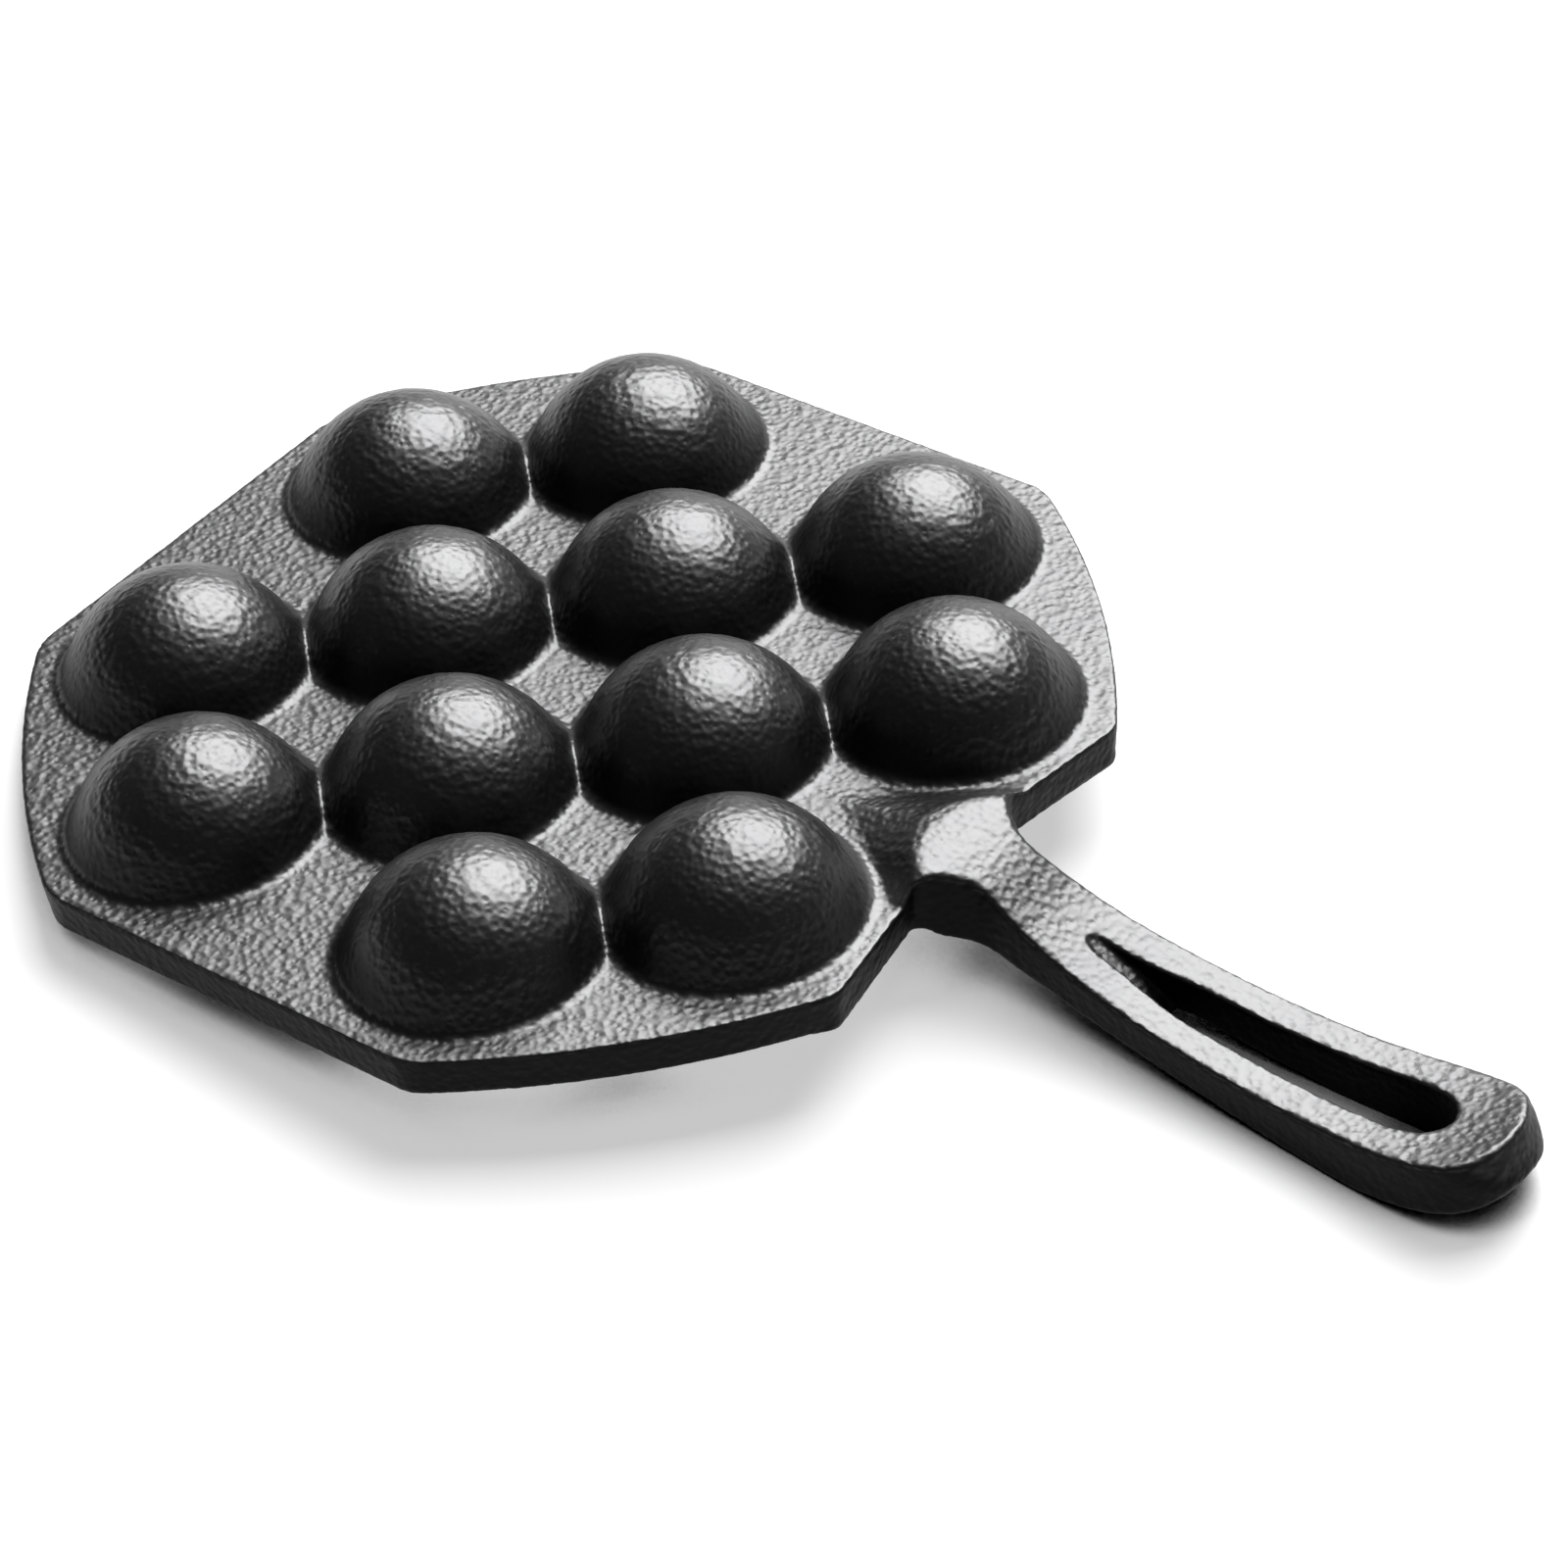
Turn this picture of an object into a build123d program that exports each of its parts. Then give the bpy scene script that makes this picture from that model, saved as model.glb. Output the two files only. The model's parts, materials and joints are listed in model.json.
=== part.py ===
from build123d import *
import os
from math import asin, atan2, degrees, sqrt

# A takoyaki pan: a cast-iron plate with twelve round wells and a slotted handle, all of one casting.
# Its regions are kept as separate solids that meet face to face.
# It is drawn level, domes up: the dome side of the plate is z = 0 and +X runs out along the handle.
# At the end it is laid face down on a flat surface, on the far edge of its rim and on its drooping handle.
# Lengths are in millimetres.

# Wells: round cups hanging from the plate, on a square grid turned 45 degrees to the handle
PITCH = 45.0                # from well to well
ROW_LENGTHS = (2, 4, 4, 2)  # a grid of four by four without its corners
CUP_RADIUS = 23.3           # outside of a cup
CUP_SINK = 5.4              # the cup's centre lies this far below the dome side of the plate
CUP_WALL = 3.0
HOLE_RADIUS = 21.5          # hole in the plate that a cup fills
FOOT_FILLET = 1.6           # hollow curve where a dome meets the plate
FOOT_STEP = 0.2             # height that is left at the very end of that curve

# Plate and rim: an octagon with four straight sides and four bowed ones
WEB = 4.5                   # plate thickness between the wells
EDGE_HEIGHT = 8.0           # plate and rim together
RIM_WIDTH = 4.5             # lip round the cooking face
ACROSS_FLATS = 185.5
FLAT_LENGTH = 82.0
BOW_REACH = 98.4            # from the centre to the middle of a bowed side
HANDLE_SIDE_DIP = 6.4       # the straight side under the handle is folded inwards by this much
CORNER_RADIUS = 9.0
HANDLE_CORNER_RADIUS = 4.0
CAST_EDGE = 1.5             # rounding on every outer edge

# Handle root: a low fan-shaped hump on the plate, and the neck that leaves it
FAN_START = 62.0            # its point, between the last two domes
FAN_HALF_WIDTH = 18.5       # where it meets the edge of the plate
FAN_END = 88.3
CREST_START = 81.5
CREST_SHOULDER = (84.0, 7.0)  # (x, half width)
CREST_HALF_WIDTH = 10.5
CREST_HEIGHT = 4.0
NECK_SECTIONS = ((85.0, 10.5, 4.0, 15.8, -7.5), (89.5, 10.5, 3.7, 13.4, -8.4),
                 (93.5, 8.5, 2.1, 10.0, -9.8), (98.0, 7.4, 0.2, 8.0, -11.4))
#                each is x, half width and z of the upper face, half width and z of the lower face

# Handle, as seen from the side: points (x, z) along its upper and lower faces, from the neck outwards
TOP_LINE = ((98, 0.2), (104, -3.4), (112, -7.2), (122, -10.5), (137, -13.7), (155, -15.8),
            (175, -15.9), (190, -13.9), (203, -10.0))
BOTTOM_LINE = ((98, -11.4), (106, -13.9), (116, -16.8), (130, -20.2), (150, -24.1), (166, -26.2),
               (176, -26.4), (187, -25.1), (196, -22.4), (203, -18.0))
# Handle, as seen from above: points (x, half width), up to the rounded tip
HALF_WIDTHS = ((98, 8.0), (103, 8.2), (112, 8.8), (124, 9.6), (140, 10.5), (157, 11.5), (170, 12.4), (181, 13.0),
               (188, 12.6), (194, 10.9), (198, 8.0), (200, 4.6))
TIP = 200.6
TIP_CENTRE = 184.2          # the tip leans in towards its top, as a cone round this spot
TIP_TOP = (13.0, -12.2)     # (radius of the cone, z)
TIP_BULGE = (16.4, -19.0)

# Slot right through the handle, with a ramp at its narrow end
SLOT_START = 114.0
SLOT_HALF_WIDTHS = ((116, 1.6), (126, 2.9), (133, 3.9), (145, 4.5), (156, 5.1), (172, 5.8), (180, 5.8))
SLOT_END = 186.2
RAMP_HEAD = (112.0, -7.0)   # (x, z) on the upper face
RAMP_KNEE = (127.0, -15.9)  # where the ramp grows steeper
RAMP_FOOT = (131.0, -21.5)  # just under the handle, where the slot goes right through

DEEP = 60.0                 # taller than anything here


def grid_cells():
    """Give the (column, row) of each well, counted in pitches from the middle of the plate."""
    for row, count in enumerate(ROW_LENGTHS):
        for column in range(count):
            yield column - (count - 1) / 2, row - (len(ROW_LENGTHS) - 1) / 2


def outline():
    """The plate's outline, with its corners rounded."""
    flat = ACROSS_FLATS / 2
    corner = FLAT_LENGTH / 2
    middle = BOW_REACH / sqrt(2)
    with BuildSketch() as sketch:
        with BuildLine():
            for sx, sy in ((1, 1), (-1, 1), (-1, -1), (1, -1)):
                ends = (sx * flat, sy * corner), (sx * corner, sy * flat)
                ThreePointArc(ends[0], (sx * middle, sy * middle), ends[1])
            for sy in (1, -1):
                Line((-corner, sy * flat), (corner, sy * flat))
            Line((-flat, -corner), (-flat, corner))
            Polyline((flat, -corner), (flat - HANDLE_SIDE_DIP, 0), (flat, corner))
        make_face()
        fillet([v for v in sketch.vertices() if v.X < corner + 1], CORNER_RADIUS)
        fillet([v for v in sketch.vertices() if v.X > flat - 0.1], HANDLE_CORNER_RADIUS)
    return sketch.sketch


def edges_at(solid, height):
    """The outer edges of a flat face at this height."""
    face = solid.faces().filter_by(Axis.Z).sort_by(lambda f: abs(f.center().Z - height))[0]
    return face.outer_wire().edges()


def through(drawing):
    """Extrude a drawing to both sides of its plane, past everything else."""
    normal = drawing.face().normal_at()
    return Pos(normal * -DEEP) * extrude(drawing, 2 * DEEP, dir=normal)


def slab():
    """The plate and its rim as one solid block with rounded edges."""
    block = extrude(outline(), -EDGE_HEIGHT)
    for height in (0, -EDGE_HEIGHT):
        block = fillet(edges_at(block, height), CAST_EDGE)
    return block


def layer(top, bottom):
    """A flat box that is wider than the plate, between two heights."""
    return Pos(0, 0, (top + bottom) / 2) * Box(2 * TIP, 2 * TIP, top - bottom)


def plate():
    """The web of the plate, with a hole for each cup."""
    web = slab() & layer(0, -WEB)
    for column, row in grid_cells():
        web -= Rot(0, 0, 45) * Pos(PITCH * column, PITCH * row) * Cylinder(HOLE_RADIUS, DEEP)
    return web


def rim():
    """The lip round the cooking face, under the edge of the plate."""
    return (slab() & layer(-WEB, -EDGE_HEIGHT)) - through(offset(outline(), -RIM_WIDTH))


def cup():
    """One cup, open downwards, with its hollow foot curve where it stands on the plate."""
    inner = CUP_RADIUS - CUP_WALL
    mouth = sqrt(inner**2 - (CUP_SINK - WEB) ** 2)
    foot_centre_z = FOOT_FILLET + FOOT_STEP
    foot_centre_x = sqrt((CUP_RADIUS + FOOT_FILLET) ** 2 - (foot_centre_z + CUP_SINK) ** 2)
    centre = Vector(0, -CUP_SINK)
    foot_centre = Vector(foot_centre_x, foot_centre_z)
    join = centre + (foot_centre - centre).normalized() * CUP_RADIUS
    foot_middle = foot_centre - (foot_centre - join + Vector(0, FOOT_FILLET)).normalized() * FOOT_FILLET
    dome_middle = centre + (join - centre + Vector(0, CUP_RADIUS)).normalized() * CUP_RADIUS
    inner_middle = centre + Vector(1, 1).normalized() * inner
    with BuildSketch(Plane.XZ) as sketch:
        with BuildLine():
            ThreePointArc((0, CUP_RADIUS - CUP_SINK), dome_middle, join)
            ThreePointArc(join, foot_middle, (foot_centre_x, FOOT_STEP))
            Polyline((foot_centre_x, FOOT_STEP), (foot_centre_x, 0), (HOLE_RADIUS, 0),
                     (HOLE_RADIUS, -WEB), (mouth, -WEB))
            ThreePointArc((mouth, -WEB), inner_middle, (0, inner - CUP_SINK))
            Line((0, inner - CUP_SINK), (0, CUP_RADIUS - CUP_SINK))
        make_face()
    return revolve(sketch.sketch, Axis.Z)


def wells():
    """Every cup in its place, cut off square where it meets the next one."""
    whole = cup()
    cells = list(grid_cells())
    placed = []
    for column, row in cells:
        trimmed = whole
        for dx, dy in ((1, 0), (-1, 0), (0, 1), (0, -1)):
            if (column + dx, row + dy) in cells:
                trimmed -= Pos(dx * PITCH, dy * PITCH) * Box(PITCH, PITCH, DEEP)
        placed.append(Rot(0, 0, 45) * Pos(PITCH * column, PITCH * row) * trimmed)
    return placed


def handle_blank():
    """The handle before its slot: the side view cut to the shape of the top view."""
    with BuildSketch(Plane.XZ) as side:
        with BuildLine():
            Spline(*TOP_LINE)
            Line(TOP_LINE[-1], BOTTOM_LINE[-1])
            Spline(*BOTTOM_LINE)
            Line(BOTTOM_LINE[0], TOP_LINE[0])
        make_face()
    with BuildSketch() as top:
        with BuildLine():
            near = [(x, -w) for x, w in HALF_WIDTHS]
            Spline(*HALF_WIDTHS, (TIP, 0), *reversed(near))
            Line(near[0], HALF_WIDTHS[0])
        make_face()
    blank = through(side.sketch) & through(top.sketch)
    long_edges = blank.edges().filter_by(lambda e: e.length > 2 * (TIP - TOP_LINE[0][0]))
    return fillet(long_edges, CAST_EDGE) - tip_waste()


def tip_waste():
    """What is cut away round the tip, so that it leans in towards its top."""
    (top_radius, top_z), (bulge_radius, bulge_z) = TIP_TOP, TIP_BULGE
    slope = (bulge_radius - top_radius) / (top_z - bulge_z)
    tall = bulge_radius / slope
    cone = Pos(TIP_CENTRE, 0, bulge_z + tall / 2) * Cone(bulge_radius, 0, tall)
    beyond = Pos(TIP_CENTRE + DEEP / 2, 0, bulge_z + tall / 2) * Box(DEEP, DEEP, tall)
    return beyond - cone


def slot():
    """The slot and the ramp that leads down into it."""
    last_x, last_w = SLOT_HALF_WIDTHS[-1]
    first_x, first_w = SLOT_HALF_WIDTHS[0]
    with BuildSketch() as opening:
        with BuildLine():
            Spline(*SLOT_HALF_WIDTHS)
            ThreePointArc((last_x, last_w), (SLOT_END, 0), (last_x, -last_w))
            Spline(*[(x, -w) for x, w in SLOT_HALF_WIDTHS])
            ThreePointArc((first_x, -first_w), (SLOT_START, 0), (first_x, first_w))
        make_face()
    ramp_x = RAMP_FOOT[0]
    with BuildSketch(Plane.XZ) as under_ramp:
        with BuildLine():
            Polyline(RAMP_HEAD, RAMP_KNEE, RAMP_FOOT, (ramp_x, -DEEP), (RAMP_HEAD[0], -DEEP), close=True)
        make_face()
    return through(opening.sketch) - through(under_ramp.sketch)


def hump():
    """The fan-shaped hump that stands on the plate."""
    shoulder_x, shoulder_w = CREST_SHOULDER
    base = make_face(Polyline((FAN_START, 0), (FAN_END, -FAN_HALF_WIDTH),
                              (FAN_END, FAN_HALF_WIDTH), close=True))
    crest = make_face(Polyline((CREST_START, 0), (shoulder_x, -shoulder_w), (FAN_END, -CREST_HALF_WIDTH),
                               (FAN_END, CREST_HALF_WIDTH), (shoulder_x, shoulder_w), close=True))
    return loft([base, Pos(0, 0, CREST_HEIGHT) * crest], ruled=True)


def neck():
    """The neck, which narrows from the hump to the handle."""
    sections = []
    for x, top_w, top_z, bottom_w, bottom_z in NECK_SECTIONS:
        corners = (x, -bottom_w, bottom_z), (x, bottom_w, bottom_z), (x, top_w, top_z), (x, -top_w, top_z)
        sections.append(make_face(Polyline(*corners, close=True)))
    return loft(sections)


def casting():
    """Every region of the casting by name, drawn level."""
    regions = {"griddle_plate": plate(), "raised_rim": rim()}
    for number, well in enumerate(wells(), 1):
        regions[f"well_{number:02d}"] = well
    regions["handle_root"] = hump() + neck() - slab()
    regions["handle_grip"] = handle_blank() - slot()
    return regions


def resting_lean():
    """The angle at which the plate leans when the casting lies on its far edge and on its handle."""
    edge_centre = Vector(CAST_EDGE - ACROSS_FLATS / 2, CAST_EDGE - EDGE_HEIGHT)
    underside = Spline(*BOTTOM_LINE)
    steps = 1000
    lean = 0
    for step in range(steps + 1):
        reach = underside @ (step / steps) - edge_centre
        lean = max(lean, atan2(-reach.Y, reach.X) - asin(CAST_EDGE / reach.length))
    return degrees(lean)


if __name__ == "__main__":
    os.makedirs("parts", exist_ok=True)
    lean = resting_lean()
    regions = {name: Rot(0, -lean, 0) * solid for name, solid in casting().items()}
    box = Compound(list(regions.values())).bounding_box()
    print(f"lean {lean:.3f} degrees, size {box.size.X:.1f} x {box.size.Y:.1f} x {box.size.Z:.1f} mm")
    for name, solid in regions.items():
        resting = Pos(-box.center().X, -box.center().Y, -box.min.Z) * solid
        export_step(resting, f"parts/{name}.step")
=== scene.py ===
import json
from math import asin, cos, pi, radians, sin, sqrt, tan

import bmesh
import bpy
import numpy as np
from mathutils import Matrix, Vector


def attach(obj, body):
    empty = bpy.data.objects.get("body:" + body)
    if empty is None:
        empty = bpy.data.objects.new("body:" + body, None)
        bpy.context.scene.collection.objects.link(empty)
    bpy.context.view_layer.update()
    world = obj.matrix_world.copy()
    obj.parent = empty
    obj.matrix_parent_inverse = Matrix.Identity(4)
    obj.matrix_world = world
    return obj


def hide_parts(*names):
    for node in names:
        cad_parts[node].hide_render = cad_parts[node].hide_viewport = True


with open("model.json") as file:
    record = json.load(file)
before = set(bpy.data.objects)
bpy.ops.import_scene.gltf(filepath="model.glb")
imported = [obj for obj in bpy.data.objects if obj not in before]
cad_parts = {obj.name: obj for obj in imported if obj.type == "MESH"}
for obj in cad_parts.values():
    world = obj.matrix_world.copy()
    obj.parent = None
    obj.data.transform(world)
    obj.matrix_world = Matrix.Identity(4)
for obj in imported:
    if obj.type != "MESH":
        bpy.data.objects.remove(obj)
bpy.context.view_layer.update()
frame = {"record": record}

# A takoyaki pan, sand-cast in one pour: plate, wells, handle root and handle run into each other
# with soft corners. So the whole skin is formed at once, as the zero surface of one distance
# function, and is then parted along the borders of the frame's nodes.
# The forms are in millimetres, with the pan level and its domes up: z = 0 is the dome side of the
# plate, and +X runs out along the handle. at_rest() lays the skin down in the frame, in metres.

# Wells
PITCH = 45.0
ROW_LENGTHS = (2, 4, 4, 2)
DOME_RADIUS = 23.3
BOWL_RADIUS = 20.3
SINK = 5.4              # the wells' centres lie this far below the dome side of the plate
SKIRT = radians(62)     # angle down from a dome's top, from which its flank runs on straight
FOOT_FILLET = 1.2       # hollow corner where a dome meets the plate or the next dome
MOUTH_ROUND = 1.0
HOLE_RADIUS = 21.5      # border of a well on the cooking side

# Plate and rim
WEB = 4.5
EDGE_HEIGHT = 8.0
RIM_WIDTH = 4.5
HALF_ACROSS = 92.75     # from the middle to a straight side
HALF_FLAT = 41.0        # half the length of a straight side
BOW_REACH = 98.4        # from the middle to a bowed side
HANDLE_SIDE_DIP = 6.4
CORNER_SOFTNESS = 2.0   # how far a corner's rounding eats into each side
HANDLE_CORNER_SOFTNESS = 1.6
EDGE_INSET = 0.05       # keeps the crisp upper corner within the solids
EDGE_DRAFT = 0.1        # the edge leans in by this share of its depth
EDGE_ROUND = 0.6
FACE_SPOT = 3.05        # from the plate's far side to the middle of the rim's flat face

# Handle root: a fan that rises from between the last two domes to a crest
FAN_POINT = 62.0
FAN_CORNER = (88.3, 18.5)
CREST_MIDDLE = 95.2
CREST_RADIUS = 13.2
CREST_HEIGHT = 4.2
CREST_ROUND = 1.2
FAN_FILLET = 0.5
NECK_CORNER = 3.4       # hollow corner between the edge of the plate and the neck
NECK_END = 98.0

# Handle: points (x, z) along its upper and lower faces, and (x, half width) as seen from above
TOP_LINE = ((55, 5.5), (78, 4.7), (82, 4.4), (86, 3.9), (90, 3.2), (94, 1.9), (98, 0.1), (104, -3.4),
            (112, -7.2), (122, -10.5), (137, -13.7), (155, -15.8), (175, -15.9), (190, -13.9), (203, -10.0))
BOTTOM_LINE = ((70, -2.5), (79, -3.0), (83, -6.0), (86, -7.6), (89.5, -8.4), (93.5, -9.8), (98, -11.4),
               (106, -13.9), (116, -16.8), (130, -20.2), (150, -24.1), (166, -26.2), (176, -26.4),
               (187, -25.1), (196, -22.4), (203, -18.0))
HALF_WIDTHS = ((82.6, 0), (83.6, 6.5), (86, 13.2), (89.5, 12.8), (91.5, 11.7), (93.5, 10.2), (95.5, 8.9),
               (98, 8.1), (103, 8.2), (112, 8.8), (124, 9.6), (140, 10.5), (157, 11.5), (170, 12.4),
               (181, 13.0), (188, 12.6), (194, 10.9), (198, 8.0), (200, 4.6), (200.6, 0))
# How far each side leans in from its middle to its top, at points along x
SIDE_DRAFT = ((80, 1.2), (86, 1.2), (90, 1.1), (95, 1.1), (98, 0.8), (103, 0.4), (110, 0.1), (125, -0.2),
              (165, -0.2), (180, 0), (203, 0))
HANDLE_TILT = 0.96      # cosine of the handle's usual slope, which turns a height into a distance
HANDLE_ROUND = 1.0
# The tip leans in towards its top, as a cone round TIP_CENTRE: (radius, z) at two heights
TIP_CENTRE = 184.5
TIP_TOP = (13.1, -12.2)
TIP_BULGE = (16.4, -19.0)

# Slot, with a ramp down into it at its narrow end
SLOT_HALF_WIDTHS = ((114, 0), (114.5, 0.8), (116, 1.3), (120, 1.7), (126.5, 2.6), (133, 3.7),
                    (145, 4.2), (155, 4.7), (163, 5.0), (172, 5.5), (179.4, 5.4), (183.6, 3.8), (185.8, 0))
RAMP = ((112, -7), (127, -15.9), (131, -21.5))
KNEE_ROUND = 2.0
SLOT_ROUND = 0.7

# Surface of the casting. The lumps are clumps of the moulding sand, about 1 to 2 mm across. Single
# grains of 0.3 mm are too fine to show, so they are drawn 1.4 mm wide.
PEBBLE_WIDTH = 1.6
PEBBLE_HEIGHT = 0.24
SWELL_WIDTH = 7
SWELL_HEIGHT = 0.08
SKIN_LEVEL = 0.75       # level of the noise, near its top, that stays on the form; the rest sinks in
FINE_GRAIN = 1.4
FINE_SOFTNESS = 0.6
FINE_DEPTH = 0.15
STEEP = 0.3             # upright share of a face's normal, up to which the iron is painted black as painted shade
FLAT = 0.85             # and from which it keeps the paler iron tone and is smoother
PATCH = 12              # width of the paler and darker patches
STEEP_ROUGHNESS = 0.5
UPRIGHT_ROUGHNESS = 0.37

MM = 0.001
VOXEL = 0.5
SKIN_LOW = (-94.37, -94.37, -28.13)
SKIN_HIGH = (203.5, 94.5, 19.6)
LOOP_STEP = 2           # between the points of a smooth loop
SLACK = 0.1             # keeps a border between regions clear of a flat face

CELLS = [(column - (count - 1) / 2, row - (len(ROW_LENGTHS) - 1) / 2)
         for row, count in enumerate(ROW_LENGTHS) for column in range(count)]
WELL_X = np.array([PITCH * (column - row) / sqrt(2) for column, row in CELLS])
WELL_Y = np.array([PITCH * (column + row) / sqrt(2) for column, row in CELLS])


# Joining forms. Each form is a distance: negative inside the iron, positive outside.

def join(a, b, radius):
    """Both forms together, with a hollow fillet where they meet."""
    hollow = np.hypot(np.maximum(radius - a, 0), np.maximum(radius - b, 0))
    return np.maximum(radius, np.minimum(a, b)) - hollow


def overlap(a, b, radius):
    """What two forms share, with its edge rounded."""
    return -join(-a, -b, radius)


def smooth_line(points):
    """A function that runs smoothly through the points (position, value)."""
    at, value = np.array(points, float).T
    gap = np.diff(at)
    slope = np.diff(value) / gap
    bend = np.diag(np.r_[1, 2 * (gap[:-1] + gap[1:]), 1])
    for i, (left, right) in enumerate(zip(gap[:-1], gap[1:]), 1):
        bend[i, i - 1] = left
        bend[i, i + 1] = right
    second = np.linalg.solve(bend, np.r_[0, 6 * np.diff(slope), 0])

    def line(x):
        x = np.clip(x, at[0], at[-1])
        i = np.clip(np.searchsorted(at, x) - 1, 0, len(gap) - 1)
        before, after = x - at[i], at[i + 1] - x
        return ((second[i] * after**3 + second[i + 1] * before**3) / (6 * gap[i])
                + (value[i] / gap[i] - second[i] * gap[i] / 6) * after
                + (value[i + 1] / gap[i] - second[i + 1] * gap[i] / 6) * before)
    return line


def distance_in_plan(x, y, half_widths):
    """Signed distance from a loop that is the same on both sides of y = 0."""
    half = np.array(half_widths, float)
    loop = np.concatenate([half, half[-2:0:-1] * (1, -1)])
    nearest = np.full(np.broadcast(x, y).shape, np.inf)
    inside = np.zeros(nearest.shape, bool)
    for (ax, ay), (bx, by) in zip(loop, np.roll(loop, -1, axis=0)):
        along_x, along_y = bx - ax, by - ay
        share = np.clip(((x - ax) * along_x + (y - ay) * along_y) / (along_x**2 + along_y**2), 0, 1)
        nearest = np.minimum(nearest, np.hypot(x - ax - share * along_x, y - ay - share * along_y))
        crosses = (ay > y) != (by > y)
        if by != ay:
            inside ^= crosses & (x < ax + (y - ay) * along_x / along_y)
    return np.where(inside, -nearest, nearest)


def rounded_loop(half_widths):
    """Closely spaced points (x, half width) on a smooth curve through the given ones, square to y = 0."""
    points = np.array(half_widths, float)
    mirrored = np.concatenate([points[2:0:-1] * (1, -1), points, points[-2:-4:-1] * (1, -1)])
    way = np.r_[0, np.cumsum(np.hypot(*np.diff(mirrored, axis=0).T))]
    first, last = way[2], way[-3]
    spots = np.linspace(first, last, int((last - first) / LOOP_STEP) + 1)
    return np.stack([smooth_line(np.stack([way, values], 1))(spots) for values in mirrored.T], 1)


# Forms of the pan

def plate_outline(x, y):
    """Signed distance in plan from the edge of the plate."""
    # A bowed side is an arc through the ends of both neighbours, centred on the diagonal.
    ends = HALF_ACROSS**2 + HALF_FLAT**2
    centre = (ends - BOW_REACH**2) / (2 * (BOW_REACH - (HALF_ACROSS + HALF_FLAT) / sqrt(2)))
    bows = np.hypot(abs(x) + centre / sqrt(2), abs(y) + centre / sqrt(2)) - (BOW_REACH + centre)
    straights = np.maximum(abs(y) - HALF_ACROSS, -x - HALF_ACROSS)
    fold = HANDLE_SIDE_DIP / HALF_FLAT
    handle_side = (x - HALF_ACROSS + fold * (HALF_FLAT - abs(y))) / np.hypot(1, fold)
    return overlap(overlap(straights, bows, CORNER_SOFTNESS), handle_side, HANDLE_CORNER_SOFTNESS)


def from_wells(x, y):
    """Distances in plan to the middles of the nearest well and of the next one."""
    reach = np.hypot(x[..., None] - WELL_X, y[..., None] - WELL_Y)
    reach.partition(1, axis=-1)
    return reach[..., 0], reach[..., 1]


def dome(reach, z):
    """A dome: a ball, whose flank runs on straight below the skirt line."""
    height = z + SINK
    skirt = reach * sin(SKIRT) + np.maximum(height, SINK) * cos(SKIRT) - DOME_RADIUS
    return np.where(reach * cos(SKIRT) > height * sin(SKIRT), skirt, np.hypot(reach, height) - DOME_RADIUS)


def above_base_line(x, y):
    """Distance in plan from the nearer base line of the fan, towards its middle."""
    length = np.hypot(FAN_CORNER[0] - FAN_POINT, FAN_CORNER[1])
    return ((x - FAN_POINT) * FAN_CORNER[1] - abs(y) * (FAN_CORNER[0] - FAN_POINT)) / length


def fan(x, y):
    """Height of the fan: straight lines run up from its two base lines to the crest."""
    from_base = above_base_line(x, y)
    from_crest = np.hypot(x - CREST_MIDDLE, y) - CREST_RADIUS
    return CREST_HEIGHT * from_base / np.maximum(from_base + from_crest, 1)


def handle(x, y, z, edge):
    """The root, the neck and the handle, with sides that lean in towards the top."""
    top, bottom = smooth_line(TOP_LINE)(x), smooth_line(BOTTOM_LINE)(x)
    low = np.clip((top - z) / (top - bottom), 0, 1) * 2 - 1
    sides = distance_in_plan(x, y, rounded_loop(HALF_WIDTHS)) - smooth_line(SIDE_DRAFT)(x) * low
    slope = (TIP_BULGE[0] - TIP_TOP[0]) / (TIP_TOP[1] - TIP_BULGE[1])
    cone = np.hypot(np.maximum(x - TIP_CENTRE, 0), y) - (TIP_TOP[0] + slope * np.maximum(TIP_TOP[1] - z, 0))
    sides = overlap(sides, cone / np.hypot(1, slope), HANDLE_ROUND)
    sides = join(sides, edge, NECK_CORNER)
    upper = overlap(z - fan(x, y), z - top, CREST_ROUND)
    return overlap(sides, np.maximum(upper, bottom - z) * HANDLE_TILT, HANDLE_ROUND)


def slot(x, y, z):
    """The slot: open right through, but for the ramp at its narrow end."""
    above = []
    for (ax, az), (bx, bz) in zip(RAMP, RAMP[1:]):
        slope = (bz - az) / (bx - ax)
        above.append((az + slope * (x - ax) - z) / np.hypot(1, slope))
    above_ramp = np.minimum(join(*above, KNEE_ROUND), RAMP[-1][0] - x)
    return np.maximum(distance_in_plan(x, y, rounded_loop(SLOT_HALF_WIDTHS)), above_ramp)


def iron(x, y, z):
    """The whole casting."""
    near, next_one = from_wells(x, y)
    outline = plate_outline(x, y)
    edge = outline + EDGE_INSET - EDGE_DRAFT * z
    slab = overlap(edge, np.maximum(z, -EDGE_HEIGHT - z), EDGE_ROUND)
    domes = np.maximum(join(dome(near, z), dome(next_one, z), FOOT_FILLET), -WEB - z)
    body = join(join(slab, domes, FOOT_FILLET), handle(x, y, z, edge), FAN_FILLET)
    pocket = np.maximum(outline + RIM_WIDTH, z + WEB)
    body = overlap(body, -pocket, MOUTH_ROUND)
    body = overlap(body, BOWL_RADIUS - np.hypot(near, z + SINK), MOUTH_ROUND)
    return overlap(body, -slot(x, y, z), SLOT_ROUND)


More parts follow.
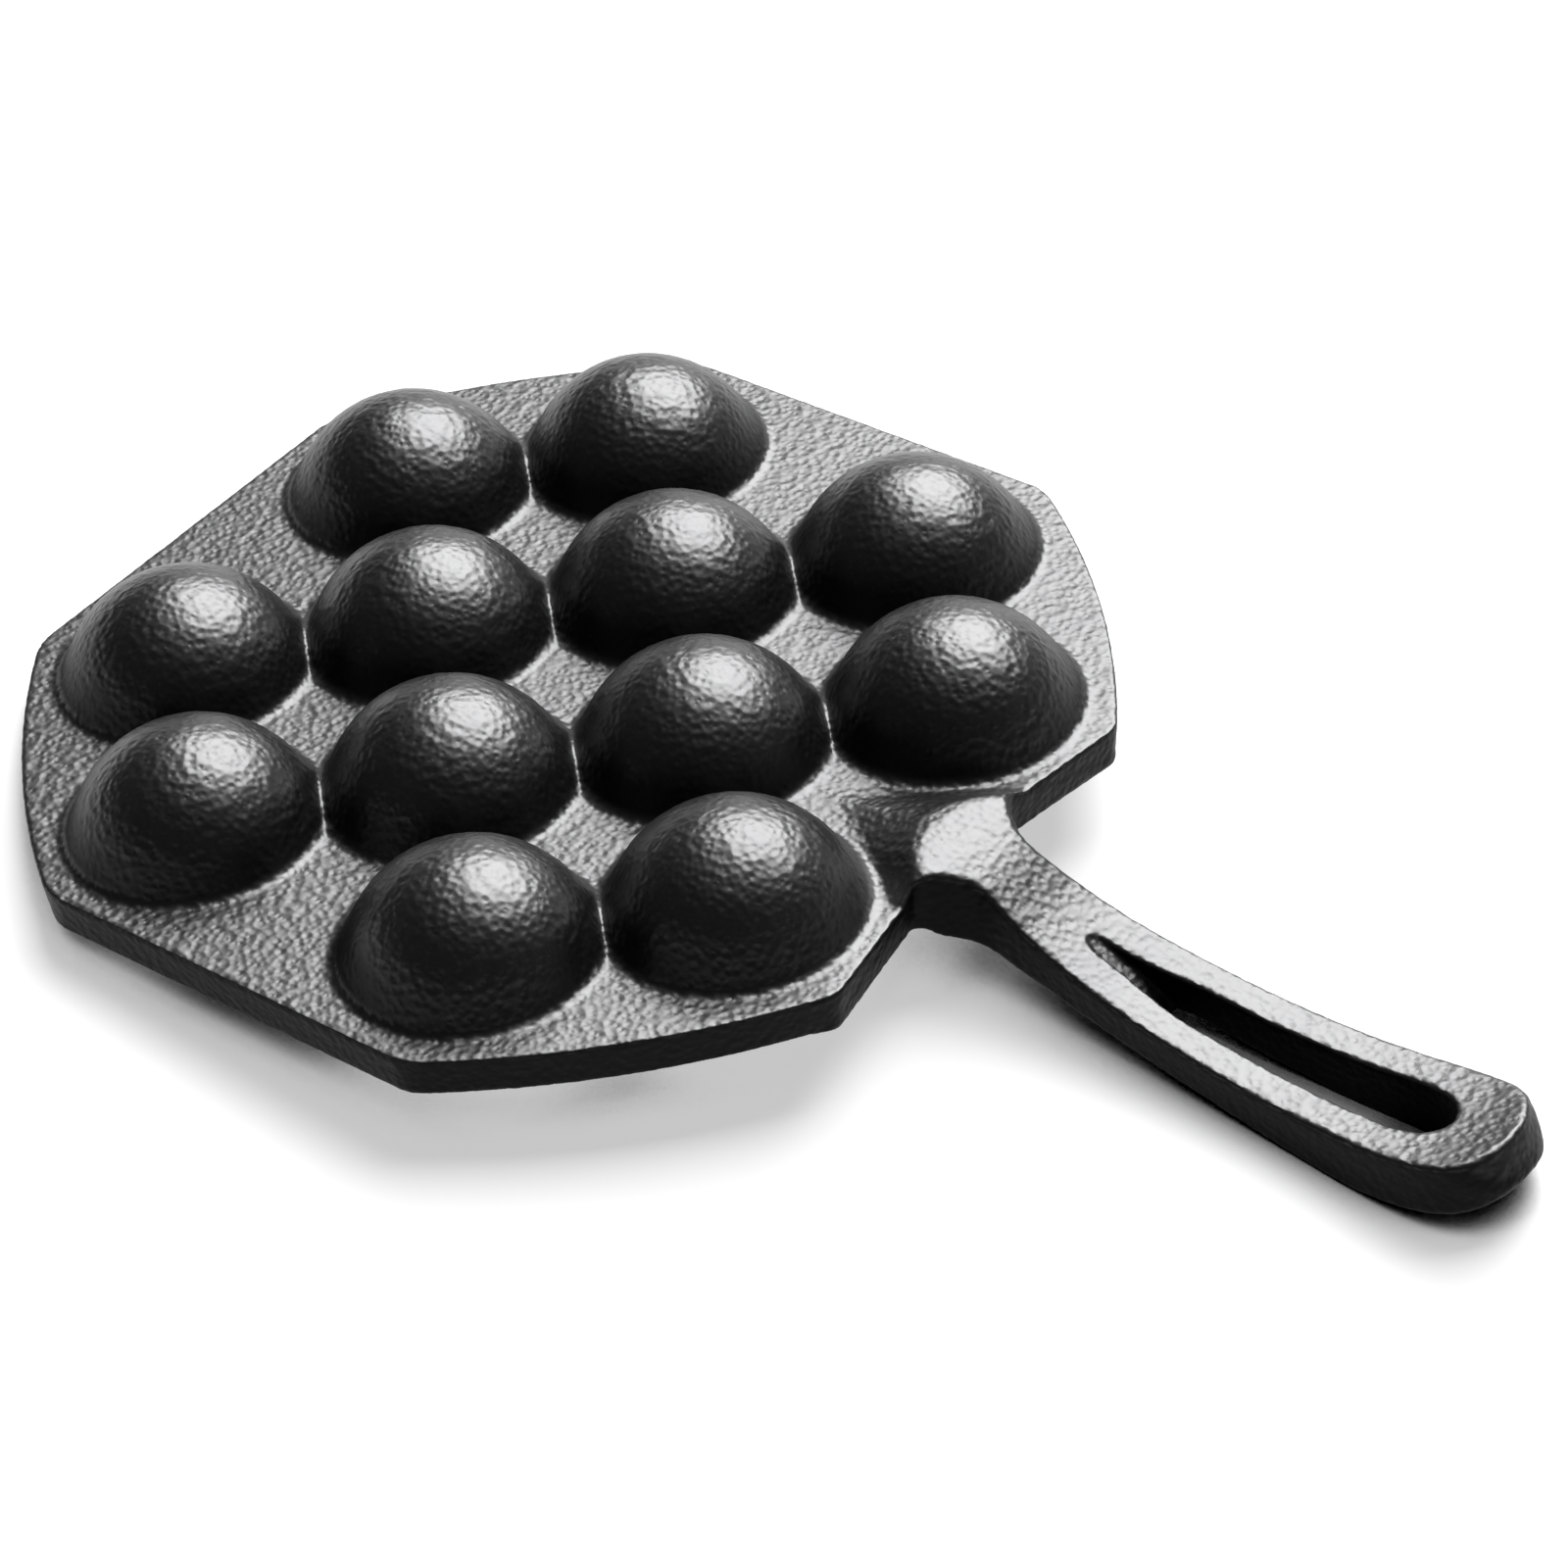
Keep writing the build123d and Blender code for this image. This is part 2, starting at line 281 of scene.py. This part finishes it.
def skin_of(form, low, high, step):
    """Points and quads on the zero surface of a form: a point in each voxel that it crosses, and a
    quad round each edge of the voxel grid that it crosses."""
    axes = [np.arange(start, stop, step, dtype=np.float32) for start, stop in zip(low, high)]
    field = form(*np.meshgrid(*axes, indexing="ij", sparse=True)).astype(np.float32)
    inside = field < 0
    corners = [(i, j, k) for i in (0, 1) for j in (0, 1) for k in (0, 1)]
    whole = [size - 1 for size in field.shape]
    filled = sum(inside[i:i + whole[0], j:j + whole[1], k:k + whole[2]].astype(np.int8)
                 for i, j, k in corners)
    crossed = (filled > 0) & (filled < 8)
    cells = np.argwhere(crossed)
    number = np.full(crossed.shape, -1)
    number[crossed] = np.arange(len(cells))

    total = np.zeros(cells.shape)
    hits = np.zeros((len(cells), 1))
    for corner in corners:
        for axis in range(3):
            if corner[axis]:
                continue
            other = np.array(corner)
            other[axis] = 1
            here = field[tuple((cells + corner).T)]
            there = field[tuple((cells + other).T)]
            meets = (here < 0) != (there < 0)
            share = here[meets] / (here[meets] - there[meets])
            total[meets] += corner + share[:, None] * (other - np.array(corner))
            hits[meets] += 1
    points = np.array(low) + step * (cells + total / hits)

    quads = []
    for axis in range(3):
        one, two = np.roll(np.eye(3, dtype=int), -1 - axis, axis=0)[:2]
        start = inside.take(range(inside.shape[axis] - 1), axis)
        stop = inside.take(range(1, inside.shape[axis]), axis)
        edges = np.argwhere(start != stop)
        ring = np.stack([number[tuple((edges - back).T)] for back in (0 * one, one, one + two, two)], 1)
        entering = stop[tuple(edges.T)]
        ring[entering] = ring[entering, ::-1]
        quads.append(ring)
    return points, np.concatenate(quads)


# Parting the skin along the frame's nodes

def at_rest(points):
    """Points of the level pan, in millimetres, laid down in the frame, in metres."""
    face = next(mount for mount in frame["record"]["mounts"] if mount["name"] == "rim_face")
    lean = asin(face["axis"][0])
    turn = np.array([[cos(lean), 0, -face["axis"][0]], [0, 1, 0], [face["axis"][0], 0, cos(lean)]])
    foot = turn @ (FACE_SPOT - HALF_ACROSS, 0, -EDGE_HEIGHT)
    return (points @ turn.T - foot) * MM + face["pos_m"]


def region_of(x, y, z):
    """The name of the region that each spot on the skin belongs to."""
    reach = np.hypot(x[:, None] - WELL_X, y[:, None] - WELL_Y)
    nearest = reach.argmin(1)
    dome_side = z > -WEB / 2
    foot = (DOME_RADIUS - SINK * cos(SKIRT)) / sin(SKIRT) + FOOT_FILLET * tan(SKIRT / 2)
    on_well = reach.min(1) < np.where(dome_side, foot, HOLE_RADIUS)
    outline = plate_outline(x, y)
    on_fan = (above_base_line(x, y) > 0) & (z > SLACK)
    on_dome_side = dome_side | (outline > -RIM_WIDTH / 2)
    name = np.where(on_dome_side, "plate_dome_side", "plate_cooking_side").astype("U20")
    name[z < -WEB - SLACK / 2] = "raised_rim"
    name[on_fan | (outline > SLACK)] = "handle_root"
    wells = np.array([f"well_{number:02d}" for number in range(1, len(CELLS) + 1)])
    name[on_well] = wells[nearest[on_well]]
    name[x > NECK_END] = "handle_grip"
    return name


def new_mesh(name, points, faces):
    """A smooth-shaded mesh, whose faces all have the same number of corners."""
    mesh = bpy.data.meshes.new(name)
    mesh.vertices.add(len(points))
    mesh.vertices.foreach_set("co", np.asarray(points, np.float32).ravel())
    mesh.loops.add(faces.size)
    mesh.loops.foreach_set("vertex_index", faces.astype(np.int32).ravel())
    mesh.polygons.add(len(faces))
    mesh.polygons.foreach_set("loop_start", np.arange(0, faces.size, faces.shape[1], dtype=np.int32))
    mesh.polygons.foreach_set("use_smooth", np.ones(len(faces), bool))
    mesh.update(calc_edges=True)
    return mesh


def values_of(items, key):
    """A vector of each item of a mesh, such as the places of its vertices, as an array."""
    values = np.empty(len(items) * 3, np.float32)
    items.foreach_get(key, values)
    return values.reshape(-1, 3)


def new_piece(name, mesh):
    """An object in the scene with this mesh, at the origin."""
    piece = bpy.data.objects.new(name, mesh)
    bpy.context.collection.objects.link(piece)
    return piece


# Nodes

def add(tree, kind, inputs=(), **settings):
    """A new node with its settings. inputs gives an input, by name or number, a value or an output."""
    node = tree.nodes.new(kind)
    for setting, value in settings.items():
        setattr(node, setting, value)
    for socket, value in dict(inputs).items():
        if isinstance(value, bpy.types.NodeSocket):
            tree.links.new(value, node.inputs[socket])
        else:
            node.inputs[socket].default_value = value
    return node


def colour(code):
    """An sRGB hex colour as linear red, green, blue and alpha."""
    levels = [int(code[i:i + 2], 16) / 255 for i in (0, 2, 4)]
    linear = [level / 12.92 if level <= 0.04045 else ((level + 0.055) / 1.055) ** 2.4 for level in levels]
    return linear + [1]


def sand_grain():
    """A tree that roughens a skin as a sand mould does: close pebbles on a slow swell."""
    tree = bpy.data.node_groups.new("sand_grain", "GeometryNodeTree")
    tree.interface.new_socket("Skin", in_out="INPUT", socket_type="NodeSocketGeometry")
    for name in ("Pebble width", "Pebble height", "Swell width", "Swell height"):
        tree.interface.new_socket(name, in_out="INPUT", socket_type="NodeSocketFloat")
    tree.interface.new_socket("Finish", in_out="INPUT", socket_type="NodeSocketMaterial")
    tree.interface.new_socket("Skin", in_out="OUTPUT", socket_type="NodeSocketGeometry")
    given = add(tree, "NodeGroupInput").outputs
    rises = []
    for kind in ("Pebble", "Swell"):
        scale = add(tree, "ShaderNodeMath", {0: 1.0, 1: given[kind + " width"]}, operation="DIVIDE")
        noise = add(tree, "ShaderNodeTexNoise", {"Scale": scale.outputs[0], "Detail": 1, "Roughness": 0.5})
        level = add(tree, "ShaderNodeMath", {0: noise.outputs[0], 1: SKIN_LEVEL}, operation="SUBTRACT")
        rises.append(add(tree, "ShaderNodeMath", {0: level.outputs[0], 1: given[kind + " height"]},
                         operation="MULTIPLY").outputs[0])
    rise = add(tree, "ShaderNodeMath", {0: rises[0], 1: rises[1]}, operation="ADD").outputs[0]
    normal = add(tree, "GeometryNodeInputNormal").outputs[0]
    offset = add(tree, "ShaderNodeVectorMath", {0: normal, "Scale": rise}, operation="SCALE").outputs[0]
    moved = add(tree, "GeometryNodeSetPosition", {"Geometry": given["Skin"], "Offset": offset})
    real = add(tree, "GeometryNodeRealizeInstances", {0: moved.outputs[0]})
    dressed = add(tree, "GeometryNodeSetMaterial", {"Geometry": real.outputs[0], "Material": given["Finish"]})
    add(tree, "NodeGroupOutput", {0: dressed.outputs[0]})
    return tree


def grown(piece, tree, **values):
    """The plain mesh that a tree makes of a piece. The piece itself is removed."""
    modifier = piece.modifiers.new(tree.name, "NODES")
    modifier.node_group = tree
    sockets = {item.name: item.identifier for item in tree.interface.items_tree if item.in_out == "INPUT"}
    for name, value in values.items():
        modifier[sockets[name.replace("_", " ").capitalize()]] = value
    evaluated = piece.evaluated_get(bpy.context.evaluated_depsgraph_get())
    mesh = bpy.data.meshes.new_from_object(evaluated)
    bpy.data.objects.remove(piece)
    return mesh


# Finishes

def seasoned_cast_iron():
    """Sand-cast iron, baked black with oil."""
    # The sand leaves a pebbled grain. The baked oil is a thin, hard, half-glossy film over it, so the
    # shine is broad and broken by the grain. Flat faces and the tops of the domes are slightly smoother,
    # rubbed by cloth and burner. Steep faces are painted near black: painted shade that darkens what they
    # mirror. Upright faces keep the paler iron tone.
    material = bpy.data.materials.new("seasoned_cast_iron")
    material.use_nodes = True
    tree = material.node_tree
    tree.nodes.clear()
    spot = add(tree, "ShaderNodeTexCoord").outputs["Object"]
    shade_and_gloss = add(tree, "ShaderNodeAttribute", attribute_name="shade_and_gloss").outputs["Fac"]
    grain = add(tree, "ShaderNodeTexVoronoi",
                {"Vector": spot, "Scale": 1 / (FINE_GRAIN * MM), "Smoothness": FINE_SOFTNESS},
                feature="SMOOTH_F1").outputs["Distance"]
    bump = add(tree, "ShaderNodeBump", {"Height": grain, "Distance": FINE_DEPTH * MM, "Strength": 1.0})
    film = add(tree, "ShaderNodeMapRange",
               {"Value": shade_and_gloss, "To Min": STEEP_ROUGHNESS, "To Max": UPRIGHT_ROUGHNESS})
    patches = add(tree, "ShaderNodeTexNoise", {"Vector": spot, "Scale": 1 / (PATCH * MM), "Detail": 2})
    upright_tone = add(tree, "ShaderNodeMix",
               {"Factor": patches.outputs[0], "A": colour("545455"), "B": colour("5c5c5c")},
               data_type="RGBA").outputs["Result"]
    # Painted shade: steep faces are painted near black, and upright faces keep the paler iron tone.
    tone = add(tree, "ShaderNodeMix", {"Factor": shade_and_gloss, "A": colour("171718"), "B": upright_tone},
               data_type="RGBA").outputs["Result"]
    shader = add(tree, "ShaderNodeBsdfPrincipled",
                 {"Base Color": tone, "Metallic": 1.0, "Roughness": film.outputs[0],
                  "Normal": bump.outputs[0]})
    add(tree, "ShaderNodeOutputMaterial", {"Surface": shader.outputs[0]})
    return material


# The finished pieces

FINISH = seasoned_cast_iron()

form_points, quads = skin_of(iron, SKIN_LOW, SKIN_HIGH, VOXEL)
regions = region_of(*form_points[quads].mean(1).T)
smooth = new_mesh("smooth", at_rest(form_points), quads)
upright = np.abs(values_of(smooth.vertex_normals, "vector")[:, 2])
# A mask of upright faces: it paints shade on the steep faces and makes the upright faces smoother.
shade_and_gloss = np.clip((upright - STEEP) / (FLAT - STEEP), 0, 1)
shade_and_gloss = shade_and_gloss**2 * (3 - 2 * shade_and_gloss)
whole = grown(new_piece("whole", smooth), sand_grain(),
              pebble_width=PEBBLE_WIDTH * MM, pebble_height=PEBBLE_HEIGHT * MM,
              swell_width=SWELL_WIDTH * MM, swell_height=SWELL_HEIGHT * MM, finish=FINISH)
points = values_of(whole.vertices, "co")
normals = values_of(whole.vertex_normals, "vector")

REPLACES = {"plate_dome_side": "griddle_plate", "plate_cooking_side": "griddle_plate"}
for region in sorted(set(regions)):
    faces = quads[regions == region]
    used, faces = np.unique(faces, return_inverse=True)
    mesh = new_mesh(region, points[used], faces.reshape(-1, 4))
    mesh.materials.append(FINISH)
    mesh.normals_split_custom_set_from_vertices(normals[used])
    # Stores the mask of the painted shade on steep faces, which also sets the gloss.
    finish_map = mesh.attributes.new("shade_and_gloss", "FLOAT", "POINT")
    finish_map.data.foreach_set("value", shade_and_gloss[used].astype(np.float32))
    piece = new_piece(region + "_skin", mesh)
    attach(piece, "root")
    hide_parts(REPLACES.get(region, region))


# Table, light and camera

# The table, in metres
SWEEP_REACH = 6.0
SWEEP_BEND = 0.6
SWEEP_STEPS = 96
BEND_STEPS = 8
WALL_HEIGHT = 0.9
SWEEP_GLOW = 0.55
SHADE_REACH = 0.018     # how near the iron must be for the painted shade to darken a spot
SHADE_RAYS = 12
SHADE_DARK = 0.45       # share of open sky, up to which a spot is painted black, as painted shade under the slot
SHADE_CLEAR = 0.64      # and from which it is white

ROOM_GLOW = 0.035

CAMERA_SPOT = Vector((400.8, -503.6, 594.9)) * MM
CAMERA_AIM = Vector((-1.7, -3.64, 20.0)) * MM
CAMERA_ROLL = radians(-2.55)
CAMERA_SENSOR = 36
CAMERA_LENS = 113.79


def white_table():
    """White painted board: matt, so it shows no reflection, and white but for a painted contact shadow."""
    # The glow is seen and mirrored but lights nothing, so the board goes white without more light. Where
    # the iron closes in on the board, as in the slot, which would look lit from below, both the paint and
    # the glow fade to black: a painted contact shadow.
    material = bpy.data.materials.new("white_table")
    material.use_nodes = True
    tree = material.node_tree
    tree.nodes.clear()
    sky = add(tree, "ShaderNodeAmbientOcclusion", {"Distance": SHADE_REACH}, samples=SHADE_RAYS)
    open_sky = add(tree, "ShaderNodeMapRange",
                   {"Value": sky.outputs["AO"], "From Min": SHADE_DARK, "From Max": SHADE_CLEAR}).outputs[0]
    # Painted contact shadow: the board's paint goes black where the iron closes in.
    tone = add(tree, "ShaderNodeMix", {"Factor": open_sky, "A": colour("000000"), "B": colour("c4c4c4")},
               data_type="RGBA").outputs["Result"]
    paint = add(tree, "ShaderNodeBsdfDiffuse", {"Color": tone}).outputs[0]
    glow = add(tree, "ShaderNodeEmission", {"Color": (1, 1, 1, 1), "Strength": SWEEP_GLOW}).outputs[0]
    dark = add(tree, "ShaderNodeEmission", {"Strength": 0.0}).outputs[0]
    rays = add(tree, "ShaderNodeLightPath").outputs
    seen = rays["Is Camera Ray"]
    for kind in ("Is Glossy Ray", "Is Transmission Ray"):
        seen = add(tree, "ShaderNodeMath", {0: seen, 1: rays[kind]}, operation="MAXIMUM").outputs[0]
    seen = add(tree, "ShaderNodeMath", {0: seen, 1: open_sky}, operation="MULTIPLY").outputs[0]
    extra = add(tree, "ShaderNodeMixShader", {0: seen, 1: dark, 2: glow}).outputs[0]
    both = add(tree, "ShaderNodeAddShader", {0: paint, 1: extra}).outputs[0]
    add(tree, "ShaderNodeOutputMaterial", {"Surface": both})
    return material


def sweep():
    """A white table top that curves up into a low wall all round."""
    side = [(0, 0)]
    for turn in np.linspace(0, pi / 2, BEND_STEPS + 1):
        side.append((SWEEP_REACH + SWEEP_BEND * sin(turn), SWEEP_BEND * (1 - cos(turn))))
    side.append((side[-1][0], WALL_HEIGHT))
    bm = bmesh.new()
    points = [bm.verts.new((reach, 0, height)) for reach, height in side]
    lines = [bm.edges.new(ends) for ends in zip(points, points[1:])]
    bmesh.ops.spin(bm, geom=points + lines, cent=(0, 0, 0), axis=(0, 0, 1), angle=2 * pi,
                   steps=SWEEP_STEPS)
    bmesh.ops.remove_doubles(bm, verts=bm.verts, dist=1e-5)
    bmesh.ops.recalc_face_normals(bm, faces=bm.faces)
    mesh = bpy.data.meshes.new("sweep")
    bm.to_mesh(mesh)
    mesh.shade_smooth()
    mesh.materials.append(white_table())
    new_piece("sweep", mesh)


def facing(away, roll):
    """The turn of a lamp or camera that looks back along a direction, rolled round its line of sight."""
    return (away.to_track_quat("Z", "Y") @ Matrix.Rotation(roll, 3, "Z").to_quaternion()).to_euler()


def soft_box(turn, rise, roll, distance, width, height, strength):
    """A soft box that faces the pan. In degrees: turn from +X towards +Y, rise from the table, roll."""
    light = bpy.data.lights.new("soft_box", "AREA")
    light.shape = "RECTANGLE"
    light.size, light.size_y = width, height
    light.energy = 4 * width * height * strength
    lamp = bpy.data.objects.new("soft_box", light)
    bpy.context.collection.objects.link(lamp)
    away = Vector((cos(radians(turn)) * cos(radians(rise)),
                   sin(radians(turn)) * cos(radians(rise)),
                   sin(radians(rise))))
    lamp.location = away * distance
    lamp.rotation_euler = facing(away, radians(roll))
    lamp.visible_camera = False


sweep()
soft_box(turn=107.3, rise=48.2, roll=33.7, distance=4.0, width=2.88, height=3.74, strength=7.7)

world = bpy.data.worlds.new("dim_room")
world.use_nodes = True
world.node_tree.nodes.clear()
glow = add(world.node_tree, "ShaderNodeBackground", {"Color": (1, 1, 1, 1), "Strength": ROOM_GLOW})
add(world.node_tree, "ShaderNodeOutputWorld", {"Surface": glow.outputs[0]})
bpy.context.scene.world = world

camera_data = bpy.data.cameras.new("camera")
camera_data.sensor_width = CAMERA_SENSOR
camera_data.lens = CAMERA_LENS
camera_data.clip_start = 0.05
camera = bpy.data.objects.new("camera", camera_data)
bpy.context.collection.objects.link(camera)
camera.location = CAMERA_SPOT
camera.rotation_euler = facing(CAMERA_SPOT - CAMERA_AIM, CAMERA_ROLL)
bpy.context.scene.camera = camera
bpy.context.scene.view_settings.view_transform = "Standard"
